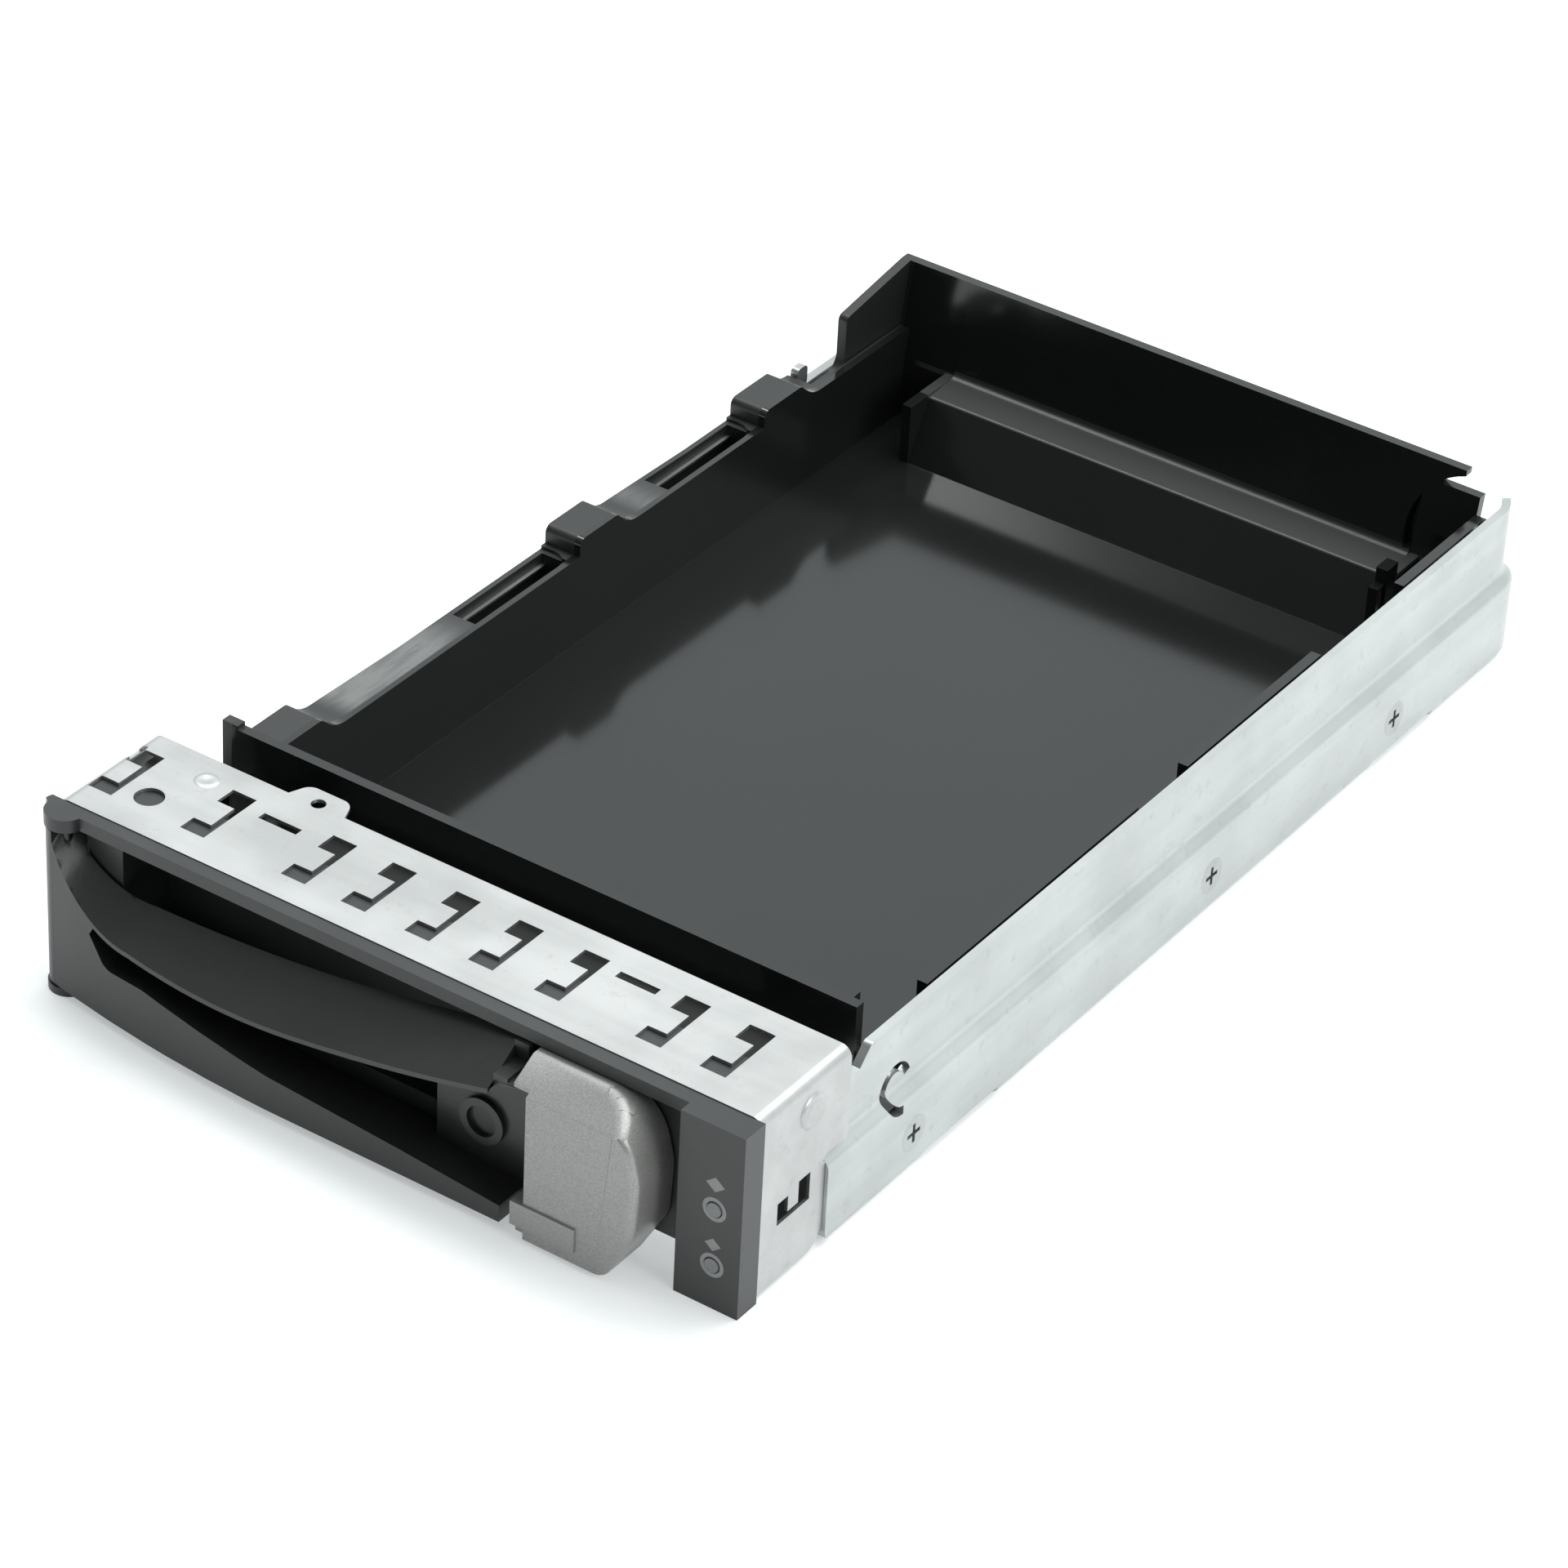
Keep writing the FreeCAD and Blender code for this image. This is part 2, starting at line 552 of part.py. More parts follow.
def lever_spring():
    """Torsion spring round the pivot pin, one leg in the bezel and one behind the lever."""
    body = coil(spring_mean_radius, spring_wire, 4.5, spring_top - spring_bottom - spring_wire)
    body.translate(V(pin_x, pin_y, spring_bottom + spring_wire / 2))
    half = spring_wire / 2
    fixed_leg = few_sided((pin_x - spring_mean_radius, pin_y, leg_z), Y, spring_leg, half, half, 6)
    push_start = (pin_x + spring_mean_radius - 0.1, pin_y - clear + half + touch, spring_bottom + half)
    push_leg = few_sided(push_start, X, spring_leg, half, half, 6)
    return fuse(body, fixed_leg, push_leg)


def latch_spring():
    start_x = shank_right + foot_edge + touch
    length = latch_travel + spring_room - 2 * touch
    body = coil(return_radius, return_wire, 5, length - return_wire)
    body.rotate(V(0, 0, 0), Y, 90)
    body.translate(V(start_x + return_wire / 2, return_y, shank_middle))
    return body


def light_pipe(z):
    stem = rod((window_x, -block_reach - 0.15, z), Y, block_reach + bezel_skin + 0.15, window_radius)
    collar = rod((window_x, bezel_skin, z), Y, window_collar, window_collar_radius)
    return fuse(stem, collar)


def left_skyline(low, y_start, y_end):
    """Side view of the blank's left wall: a step up at each boss and a swept fall behind it."""
    outline, radii = [(y_start, low), (y_start, rim_top)], [0, 0]
    for start, end in boss_ranges:
        outline += [(start, rim_top), (start, boss_height), (end, boss_height), (end + boss_fall, rim_top)]
        radii += [0, boss_round, 1.0, boss_sweep]
    return outline + [(y_end, rim_top), (y_end, low)], radii + [0, 0]


def left_wall():
    """Low wall whose rim overhangs the rail, with a pocket behind a narrow lip between bosses."""
    rim_start, rim_end = front_wall_y + 2 * blank_skin, stop_start - clear
    wall, wall_radii = left_skyline(blank_bottom, front_wall_y, rear_top_y - 2)
    rim, rim_radii = left_skyline(rim_low, rim_start, rim_end)
    over_rail = cheek_outer - clear
    parts = [side_view(wall, -blank_half, -blank_inner, wall_radii),
             side_view(rim, -boss_outer, -blank_half, rim_radii),
             box(rear_left, -blank_half, rim_end - 1, ledge_rear, rim_low - 1, rear_rim_top)]
    for start, end in boss_ranges:
        parts.append(box(-over_rail, -blank_half, start, end, boss_bottom, rim_low + 1))
    tools = []
    for (_, before), (after, _) in zip(boss_ranges, boss_ranges[1:]):
        y_start, y_end = before + 2 * boss_fall, after - rim_lip
        sunk = side_view([(y_start, rim_top), (y_start + pocket_ramp, rim_top - rim_pocket),
                          (y_end, rim_top - rim_pocket), (y_end, rim_top + past), (y_start, rim_top + past)],
                         -wide, -blank_inner)
        inner = -(blank_inner + rim_lip)
        corners = [(-wide, y_start), (inner, y_start), (inner, y_end), (-wide, y_end)]
        tools.append(sunk.common(plan_view(corners, 0, shield_top, [0, 0, pocket_corner, 0])))
    return cut(fuse(*parts), *tools)


def rear_end():
    """Ramp up to a ledge, then a tall leaning wall; the wall ends in an arc beside the right-hand steps."""
    rear_in, rear_out = ledge_rear, ledge_rear + blank_skin
    top_out = rear_top_y + blank_skin
    rise = ledge_z + 0.4
    ledge = [(floor_end, floor_top), (ledge_y, ledge_z), (rear_in, rise), (rear_top_y, rear_top_z),
             (top_out, rear_top_z), (rear_out, rise - blank_skin),
             (ledge_y + blank_skin, ledge_z - blank_skin), (floor_end + blank_skin, blank_bottom),
             (floor_end, blank_bottom)]
    corner = [(floor_end, blank_bottom), (floor_end, floor_top), (rear_in, floor_top), (rear_in, ledge_z),
              (rear_top_y, rear_top_z), (top_out, rear_top_z), (rear_out, ledge_z), (rear_out, blank_bottom)]
    cheek_foot = rim_low - 1
    cheek = [(cheek_front_y - past, cheek_foot), (cheek_front_y - past, rear_rim_top),
             (cheek_front_y, rear_rim_top), (cheek_front_y, cheek_front_z), (rear_top_y, rear_top_z),
             (top_out, rear_top_z), (rear_out, cheek_foot)]
    wall = fuse(side_view(ledge, -ledge_half, ledge_half, [0, 0.6, 1.5, 0, 0, 2.5, 0.6, 0, 0]),
                side_view(corner, rear_left, -ledge_half), side_view(corner, ledge_half, rear_right))
    arc = rod((rear_right + rear_arc_inset, floor_end, rear_arc_z), Y, 2 * (rear_top_y - floor_end), rear_arc)
    wall = cut(wall, arc.common(box(0, wide, floor_end, top_out + past, rise + 0.5, shield_top + past)))
    parts = [
        wall,
        box(-ledge_half - blank_skin, -ledge_half, floor_end, rear_in + 1, blank_bottom, rise),
        box(ledge_half, ledge_half + blank_skin, floor_end, rear_in + 1, blank_bottom, rise),
        box(ledge_half, ledge_half + post_width, ledge_y - post_depth, ledge_y, blank_bottom,
            ledge_z + post_rise),
        side_view(cheek, rear_left, rear_left + blank_skin, [0, 0, cheek_sweep, 1.0, 0, 0, 0]),
    ]
    for inward, outward, top in rear_steps:
        y = rear_in + (rear_top_y - rear_in) * (top - ledge_z) / (rear_top_z - ledge_z)
        step = [(rear_in, blank_bottom), (rear_in, ledge_z), (y, top), (y + blank_skin, top),
                (rear_out, ledge_z), (rear_out, blank_bottom)]
        parts.append(side_view(step, rear_right - inward, rear_right + outward))
    return fuse(*parts)


def drive_blank():
    """Moulded tray: one wall low and rimmed, three bosses a side, a ledge and a tall rear wall."""
    ear_low = front_wall_top - 8
    parts = [
        box(-blank_half, blank_half, front_wall_y, floor_end + 1, blank_bottom, floor_top),
        box(-blank_half, blank_half, front_wall_y, front_wall_y + blank_skin, blank_bottom, front_wall_top),
        box(-blank_half - corner_ear, -blank_inner, front_wall_y, front_wall_y + blank_skin, ear_low,
            front_wall_top + corner_ear_rise),
        box(blank_inner - 1, blank_inner, front_wall_y, front_wall_y + 2 * blank_skin, blank_bottom,
            front_wall_top),
        left_wall(),
        rear_end(),
    ]
    right_wall = box(blank_inner, blank_half, front_wall_y, rear_top_y - 2, blank_bottom, right_wall_top)
    for start, end in right_dips:
        right_wall = right_wall.cut(box(blank_inner - 1, blank_half + 1, start, end, dip_height, shield_top))
    parts.append(right_wall)
    for _, y in screw_places:
        start, end = max(y - screw_block / 2, front_wall_y), y + screw_block / 2
        outer = box(blank_inner, boss_outer, start, end, boss_bottom, block_top)
        inner = box(blank_half - screw_block_depth, blank_half, start, end, blank_bottom, screw_block_low)
        parts += [outer, inner, mirrored(outer), mirrored(inner)]
    tools = []
    for _, y in screw_places:
        head, shank = screw_cutter(y, screw_height, rail_half, screw_length, touch, touch)
        tools += [shank, mirrored(shank)]
    return cut(fuse(*parts), *tools)


def make_parts():
    right, left = rail(right_band_top), mirrored(rail(left_band_top))
    shapes = {
        "right_rail": right,
        "left_rail": left,
        "emi_shield": emi_shield(),
        "front_bezel": front_bezel(),
        "lever": lever(),
        "lever_pivot_pin": rod((pin_x, pin_y, lever_lift), Z, pin_length, pin_radius),
        "lever_spring": lever_spring(),
        "latch": latch(),
        "latch_spring": latch_spring(),
        "drive_blank": drive_blank(),
    }
    for name, z in window_heights:
        shapes["light_pipe_" + name] = light_pipe(z)
    for name, y in screw_places:
        piece = screw(y, screw_height, rail_half, screw_length)
        shapes["blank_screw_right_" + name] = piece
        shapes["blank_screw_left_" + name] = mirrored(piece)
    for name, y in bezel_screw_places:
        piece = screw(y, tab_middle, band_half, screw_length)
        shapes["bezel_screw_right_" + name] = piece
        shapes["bezel_screw_left_" + name] = mirrored(piece)
    return shapes


os.makedirs("parts", exist_ok=True)
for name, shape in make_parts().items():
    shape.translate(centre)
    shape.exportStep("parts/" + name + ".step")
    print(name, len(shape.Solids), shape.isValid(), round(shape.Volume), shape.BoundBox)
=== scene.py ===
"""Looks of the hot swap drive caddy: finishes, shaped pieces, light and camera."""
import json
import math

import bpy
from mathutils import Matrix, Vector


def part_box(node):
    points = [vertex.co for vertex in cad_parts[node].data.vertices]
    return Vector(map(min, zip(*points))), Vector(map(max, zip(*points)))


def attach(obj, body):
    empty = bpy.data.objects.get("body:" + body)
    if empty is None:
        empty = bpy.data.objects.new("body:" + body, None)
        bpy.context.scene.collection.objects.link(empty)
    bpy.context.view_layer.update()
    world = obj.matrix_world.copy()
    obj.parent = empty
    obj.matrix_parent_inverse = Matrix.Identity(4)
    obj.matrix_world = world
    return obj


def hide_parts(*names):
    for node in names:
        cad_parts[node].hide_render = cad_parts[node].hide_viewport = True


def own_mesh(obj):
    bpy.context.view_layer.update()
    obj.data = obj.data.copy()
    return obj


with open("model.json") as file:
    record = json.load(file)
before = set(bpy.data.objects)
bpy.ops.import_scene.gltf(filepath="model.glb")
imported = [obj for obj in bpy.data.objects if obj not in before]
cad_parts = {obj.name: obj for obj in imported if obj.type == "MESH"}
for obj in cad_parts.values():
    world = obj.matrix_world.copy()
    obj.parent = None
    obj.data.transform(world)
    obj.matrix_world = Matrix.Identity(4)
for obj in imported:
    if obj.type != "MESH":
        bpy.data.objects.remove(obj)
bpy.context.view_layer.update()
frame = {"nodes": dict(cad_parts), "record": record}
nodes = frame["nodes"]
MM = 0.001


# Places on the caddy in millimetres:
# X from its middle, Y from the shield's front edge, Z from the floor.
middle_x = (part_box("right_rail")[1][0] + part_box("left_rail")[0][0]) / 2 / MM
front_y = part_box("emi_shield")[0][1] / MM
pin_low, pin_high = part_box("lever_pivot_pin")
pin_x = (pin_low[0] + pin_high[0]) / 2 / MM - middle_x
pin_y = (pin_low[1] + pin_high[1]) / 2 / MM - front_y
lever_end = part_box("lever")[1][0] / MM - middle_x
lever_lean = 0.66               # fall of the lever's upper bar for each millimetre forward
crest_thick = 2.4               # of the upper bar
latch_gap = 0.3                 # from the lever's end to the latch's face
latch_left = lever_end + latch_gap
ear_radius = 3.6                # of the bezel's ears round the pivot pin
guide_low, guide_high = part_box("light_pipe_upper")
guide_x = (guide_low[0] + guide_high[0]) / 2 / MM
block_front = guide_low[1] / MM + 0.15
ring_radius = 1.45              # of the printed ring round each guide
printed_marks = ((14.9, 18.6, 1.15), (6.5, 9.6, 1.0))  # guide, mark above it, the mark's size
rim_pockets = ((50.4, 100.3), (115.8, 144.4))          # where each pocket in the low rim runs
pocket_left, pocket_right = -52.5, -48.3
pocket_floor = 9.0
left_blocks = ((96.0, 110.0), (143.5, 157.5))          # blocks inside the left wall
shield_fold_y = 13.5            # rear edge of the shield's low part


# ---------------------------------------------------------------- shader arithmetic


class Finish:
    """A material under construction: every method adds nodes and gives back Wires."""

    def __init__(self, name):
        self.material = bpy.data.materials.new(name)
        self.material.use_nodes = True
        self.tree = self.material.node_tree
        self.shader = self.tree.nodes["Principled BSDF"]
        self.place = self.node("ShaderNodeTexCoord", out="Object")

    def node(self, kind, settings=None, out=0, **values):
        """Adds a node, applies its settings first, then gives its sockets values or links."""
        made = self.tree.nodes.new(kind)
        for key, value in (settings or {}).items():
            setattr(made, key, value)
        for key, value in values.items():
            self.feed(made.inputs[socket_key(key)], value)
        return Wire(self, made.outputs[out])

    def feed(self, socket, value):
        if isinstance(value, Wire):
            self.tree.links.new(value.socket, socket)
        else:
            socket.default_value = value

    def set(self, **values):
        for key, value in values.items():
            self.feed(self.shader.inputs[key.replace("_", " ")], value)

    def noise(self, scale, detail=4.0, roughness=0.5, stretch=(1, 1, 1)):
        spot = self.node("ShaderNodeMapping", Vector=self.place, Scale=stretch)
        return self.node("ShaderNodeTexNoise", Vector=spot, Scale=scale, Detail=detail,
                         Roughness=roughness)

    def part(self, axis):
        """The X, Y or Z of the place on the object, in millimetres."""
        return self.node("ShaderNodeSeparateXYZ", out=axis, Vector=self.place) * (1 / MM)

    def mix(self, factor, low, high):
        return self.node("ShaderNodeMix", {"data_type": "RGBA"}, 2, s0=factor, s6=low, s7=high)

    def bump(self, height, strength, distance):
        return self.node("ShaderNodeBump", Height=height, Strength=strength, Distance=distance)

    def range(self, value, low, high, to_low=0.0, to_high=1.0):
        """Value taken from low..high to to_low..to_high with soft ends."""
        return self.node("ShaderNodeMapRange", {"interpolation_type": "SMOOTHSTEP"},
                         s0=value, s1=low, s2=high, s3=to_low, s4=to_high)


def socket_key(key):
    return int(key[1:]) if key[0] == "s" and key[1:].isdigit() else key.replace("_", " ")


class Wire:
    """An output socket that arithmetic works on."""

    def __init__(self, finish, socket):
        self.finish = finish
        self.socket = socket

    def math(self, operation, first, second):
        return self.finish.node("ShaderNodeMath", {"operation": operation}, s0=first, s1=second)

    def __add__(self, other):
        return self.math("ADD", self, other)

    def __sub__(self, other):
        return self.math("SUBTRACT", self, other)

    def __rsub__(self, other):
        return self.math("SUBTRACT", other, self)

    def __mul__(self, other):
        return self.math("MULTIPLY", self, other)

    def __pow__(self, other):
        return self.math("POWER", self, other)

    __radd__ = __add__
    __rmul__ = __mul__

    def most(self, other):
        return self.math("MAXIMUM", self, other)

    def size(self):
        return self.math("ABSOLUTE", self, 0.0)


def grey(level, cast=(1.0, 1.0, 1.0)):
    return (level * cast[0], level * cast[1], level * cast[2], 1.0)


# ---------------------------------------------------------------- finishes


texture_scale = 1900            # of the eroded texture on the bezel and the lever
texture_depth = 0.04 * MM
fine_depth = 0.02 * MM          # of the finer grain on the gloss black and the lacquer
grain_depth = 0.04 * MM         # of the rolling grain on the sheet
cool, warm_black = (0.93, 1, 1), (0.92, 1, 0.98)
lacquer_cast = (1, 1.0, 0.97)


def plated_steel(name, level, cast, grain):
    """Zinc-plated sheet: faint mottling, rolling grain along the part and small dull scuffs."""
    f = Finish(name)
    cloud = f.noise(70, 3)
    grain_lines = f.noise(260, 5, 0.6, grain)
    scuff = f.range(f.noise(420, 4, 0.7), 0.56, 0.72)
    tone = f.range(cloud * 0.6 + grain_lines * 0.4, 0.35, 0.65)
    colour = f.mix(tone, grey(level * 0.88, cast), grey(level * 1.06, cast))
    f.set(Base_Color=f.mix(scuff * 0.35, colour, grey(level * 0.72, cast)), Metallic=0.92,
          Roughness=0.34 + 0.12 * cloud + 0.08 * scuff,
          Normal=f.bump(grain_lines, 0.10, grain_depth))
    return f.material


def moulded(name, level, cast, roughness):
    """Moulded plastic with a spark-eroded texture and a slightly cloudy gloss."""
    f = Finish(name)
    cloud = f.noise(60, 3)
    fine = f.noise(texture_scale, 3, 0.6)
    colour = f.mix(f.range(cloud, 0.35, 0.65), grey(level * 0.9, cast), grey(level * 1.1, cast))
    f.set(Base_Color=colour, Roughness=roughness - 0.05 + 0.1 * cloud, IOR=1.5,
          Normal=f.bump(fine, 0.35, texture_depth))
    return f.material


def blank_finish():
    """Glossy black moulding; the front part of each pocket in the low rim is painted pale grey as
    a painted reflection, and the top of the rear ledge is painted a little paler as painted sheen.
    """
    f = Finish("black_moulding")
    cloud, fine = f.noise(35, 3), f.noise(2600, 3, 0.6)
    across, along, height = f.part(0) - middle_x, f.part(1) - front_y, f.part(2)
    painted_rim_reflection = 0.0
    # Painted reflection: the front part of each rim pocket is made pale grey in streaks, fading
    # out towards the pocket's rear, and rougher there.
    for start, end in rim_pockets:
        front = f.range(along, start - 1.0, start + 4.0)
        rear = f.range(along, end - 20.5, end - 30.0)
        painted_rim_reflection = (front * rear).most(painted_rim_reflection)
    painted_rim_reflection = painted_rim_reflection * f.range(across, -48.0, -48.4)
    painted_rim_reflection = painted_rim_reflection * f.range(height, 14.6, 15.0) * f.range(height, 16.6, 16.2)
    # Painted sheen: the top of the rear ledge is made a little paler, and rougher there.
    painted_ledge_sheen = f.range(along, 174.2, 174.8) * f.range(along, 182.0, 181.4)
    painted_ledge_sheen = painted_ledge_sheen * f.range(height, 10.4, 10.6) * f.range(height, 11.4, 11.2)
    painted_ledge_sheen = painted_ledge_sheen * f.range(across, -46.0, -44.0)
    reflection_streaks = f.range(f.noise(900, 4, 0.7, (1, 0.12, 1)), 0.3, 0.6)
    black = f.mix(cloud, grey(0.009, warm_black), grey(0.014, warm_black))
    matt = f.range(across, -48.2, -48.5)
    pale = (painted_rim_reflection * (0.6 + 0.4 * reflection_streaks)).most(painted_ledge_sheen * 0.22)
    roughness = 0.10 + cloud * 0.05 + painted_rim_reflection.most(matt) * 0.35 + painted_ledge_sheen * 0.25
    f.set(Base_Color=f.mix(pale, black, grey(0.17, (0.95, 1, 0.98))), Roughness=roughness,
          IOR=1.58, Normal=f.bump(fine, 0.05, fine_depth))
    return f.material


def silver_paint():
    """Fine metallic lacquer on the latch."""
    f = Finish("silver_lacquer")
    flake = f.noise(5200, 2, 0.7)
    cloud = f.noise(90, 3)
    silver = f.mix(f.range(flake, 0.3, 0.7), grey(0.29, lacquer_cast), grey(0.40, lacquer_cast))
    f.set(Base_Color=silver, Metallic=0.35, Roughness=0.3 + 0.1 * cloud,
          Normal=f.bump(flake, 0.12, fine_depth))
    return f.material


def bezel_print():
    """Black moulding with pale marks beside its two light guides."""
    f = Finish("bezel_moulding")
    cloud, fine = f.noise(60, 3), f.noise(1900, 3, 0.6)
    across, depth, height = f.part(0) - guide_x, f.part(1), f.part(2)
    ink = 0.0
    for guide_z, mark_z, mark_size in printed_marks:
        from_guide = (across * across + (height - guide_z) * (height - guide_z)) ** 0.5
        ring = f.range((from_guide - ring_radius).size(), 0.32, 0.20)
        from_mark = across.size() * 0.8 + (height - mark_z).size()
        lozenge = f.range(from_mark, mark_size, mark_size - 0.12)
        ink = (ring + lozenge).most(ink)
    ink = ink * f.range(depth, block_front + 0.3, block_front + 0.2)
    ink = ink * f.range(fine, 0.2, 0.45, 0.55, 1.0)
    dark = f.mix(f.range(cloud, 0.35, 0.65), grey(0.026, cool), grey(0.034, cool))
    f.set(Base_Color=f.mix(ink, dark, grey(0.33)), Roughness=0.30 + 0.1 * cloud + 0.15 * ink,
          IOR=1.52, Normal=f.bump(fine, 0.25, texture_depth))
    return f.material


def clear_guide():
    """Unlit plastic of the two light guides."""
    f = Finish("light_guide")
    cloud = f.noise(500, 3)
    f.set(Base_Color=f.mix(cloud, grey(0.20, (0.97, 1, 1)), grey(0.30, (0.97, 1, 1))),
          Roughness=0.2 + 0.15 * cloud)
    return f.material


def bare_steel(name, level):
    """Turned or drawn steel."""
    f = Finish(name)
    turned = f.noise(900, 3, 0.5)
    f.set(Base_Color=f.mix(turned, grey(level * 0.85), grey(level * 1.1)), Metallic=1.0,
          Roughness=0.3 + 0.15 * turned)
    return f.material


rail_steel = plated_steel("rail_zinc", 0.52, (0.96, 1.0, 0.99), (1, 0.05, 1))
shield_steel = plated_steel("shield_steel", 0.50, (0.99, 1.0, 0.99), (0.06, 1, 1))
bezel_plastic = bezel_print()
lever_plastic = moulded("lever_moulding", 0.024, (0.98, 1.0, 0.99), 0.30)
screw_zinc = plated_steel("screw_zinc", 0.46, (0.96, 1.0, 0.99), (1, 1, 1))
guide = clear_guide()


# ---------------------------------------------------------------- pieces


bodies = frame["record"]["behaviour"]["bodies"]
body_of = {name: body for body, names in bodies.items() for name in names}


def deselect():
    bpy.ops.object.select_all(action="DESELECT")


def activate(piece):
    deselect()
    bpy.context.view_layer.objects.active = piece
    piece.select_set(True)


def merged_copy(name):
    """A copy of a CAD node with its loose triangles joined into whole faces."""
    piece = bpy.data.objects.new(name + "_finished", nodes[name].data.copy())
    bpy.context.collection.objects.link(piece)
    activate(piece)
    flatten()
    return piece


def flatten():
    """Merges the active piece's points that coincide and joins its faces that lie in one plane."""
    bpy.ops.object.mode_set(mode="EDIT")
    bpy.ops.mesh.select_all(action="SELECT")
    bpy.ops.mesh.remove_doubles(threshold=0.000004)
    bpy.ops.mesh.dissolve_limited(angle_limit=math.radians(1.0))
    bpy.ops.object.mode_set(mode="OBJECT")


def ease_edges(piece, width, segments, over_angle):
    """Rounds every edge that turns by more than an angle, as moulding and forming leave them."""
    ease = piece.modifiers.new("eased_edges", "BEVEL")
    ease.width = width * MM
    ease.segments = segments
    ease.limit_method = "ANGLE"
    ease.angle_limit = math.radians(over_angle)
    bpy.ops.object.modifier_apply(modifier=ease.name)
    bpy.ops.object.shade_smooth_by_angle(angle=math.radians(over_angle))
    flat = piece.modifiers.new("flat_faces", "WEIGHTED_NORMAL")
    flat.keep_sharp = True
    flat.weight = 100
    bpy.ops.object.modifier_apply(modifier=flat.name)


def stand_in(piece, name, material):
    """The piece takes the CAD node's place on its body."""
    piece.data.materials.clear()
    piece.data.materials.append(material)
    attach(piece, body_of[name])
    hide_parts(name)


def shape(piece, test, operator, **settings):
    """Runs an edit-mode operator on the vertices whose place on the caddy passes the test."""
    bpy.ops.object.mode_set(mode="EDIT")
    bpy.ops.mesh.select_mode(type="VERT")
    bpy.ops.mesh.select_all(action="DESELECT")
    bpy.ops.object.mode_set(mode="OBJECT")
    for vertex in piece.data.vertices:
        x, y, z = vertex.co / MM
        vertex.select = test(x - middle_x, y - front_y, z)
    bpy.ops.object.mode_set(mode="EDIT")
    operator(**settings)
    bpy.ops.object.mode_set(mode="OBJECT")


def pick_edges(piece, test, over_angle):
    """Selects, in edit mode, the sharper edges that pass the test at both ends."""
    bpy.ops.object.mode_set(mode="EDIT")
    bpy.ops.mesh.select_mode(type="EDGE")
    bpy.ops.mesh.select_all(action="DESELECT")
    bpy.ops.mesh.edges_select_sharp(sharpness=math.radians(over_angle))
    bpy.ops.object.mode_set(mode="OBJECT")
    mesh = piece.data
    wanted = []
    for edge in mesh.edges:
        places = [mesh.vertices[i].co / MM for i in edge.vertices]
        if edge.select and all(test(p[0] - middle_x, p[1] - front_y, p[2]) for p in places):
            wanted.append(edge.index)
    bpy.ops.object.mode_set(mode="EDIT")
    bpy.ops.mesh.select_all(action="DESELECT")
    bpy.ops.object.mode_set(mode="OBJECT")
    for i in wanted:
        mesh.edges[i].select = True
    bpy.ops.object.mode_set(mode="EDIT")


def shift(piece, test, x=0.0, y=0.0, z=0.0):
    """Moves the vertices that pass the test, by millimetres."""
    shape(piece, test, bpy.ops.transform.translate, value=(x * MM, y * MM, z * MM))


def near(value, wanted, within=0.1):
    return abs(value - wanted) < within


def through(x, points):
    """Height at x of the parabola through three points."""
    (a, p), (b, q), (c, r) = points
    return (p * (x - b) * (x - c) / ((a - b) * (a - c))
            + q * (x - a) * (x - c) / ((b - a) * (b - c))
            + r * (x - a) * (x - b) / ((c - a) * (c - b)))


def trim_ears(piece):
    """Brings the two ears round the pivot pin in to the lever's knuckle."""
    def on_ear(x, y, z):
        return y < pin_y + 0.05 and near(math.hypot(x - pin_x, y - pin_y), ear_radius, 0.12)
    pin = ((pin_x + middle_x) * MM, (pin_y + front_y) * MM, 0)
    shape(piece, on_ear, bpy.ops.transform.resize, value=(0.78, 0.78, 1.0), center_override=pin)


def thin_crest(piece):
    """Thins the leaning upper bar towards its front edge and lifts the lower bar's front edge."""
    length = lever_end - pin_x
    front = -4.2                                        # only what lies forward of this moves
    crest = ((pin_x + 0.18 * length, 17.3), (pin_x + 0.55 * length, 19.4), (lever_end - 4.7, 25.3))
    gap_start, gap_turn = pin_x + 0.128 * length, pin_x + 0.497 * length
    gap_high, gap_low, gap_floor = 9.3, 5.6, 5.3        # heights of the lower bar's top edge

    def under_crest(x, y, z):
        level = z - lever_lean * (y + 1.0)
        on_bar = near(level, through(x, crest) - crest_thick, 0.7)
        return x > pin_x + 5.0 and y < front and on_bar and z > 9.5
    shift(piece, under_crest, z=1.7)

    def lower_edge(x, y, z):
        along = (x - gap_start) / (gap_turn - gap_start)
        top = max(gap_high - (gap_high - gap_low) * along, gap_floor)
        return 0.12 < along < 1.7 and y < front and near(z, top, 0.6)
    shift(piece, lower_edge, z=1.0)


def round_latch(piece):
    """Sets the latch's lips and face back from the lever, then rounds its D-shaped right side."""
    upper_lip, lower_lip, face = 1.0, 1.7, 0.9          # how far each is set back
    shift(piece, lambda x, y, z: x < latch_left - 0.1 and z > 15, x=upper_lip)
    shift(piece, lambda x, y, z: x < latch_left - 0.1 and z < 8, x=lower_lip)
    shift(piece, lambda x, y, z: near(x, latch_left, 0.05), x=face)

    def front_edge(x, y, z):
        on_grip = z < 6.3 and x < latch_left + 12.5
        return y < -2.9 and x > latch_left + 9.0 and not on_grip
    pick_edges(piece, front_edge, 30)
    bpy.ops.mesh.bevel(offset=1.2 * MM, segments=5, affect="EDGES")
    bpy.ops.object.mode_set(mode="OBJECT")
    flatten()


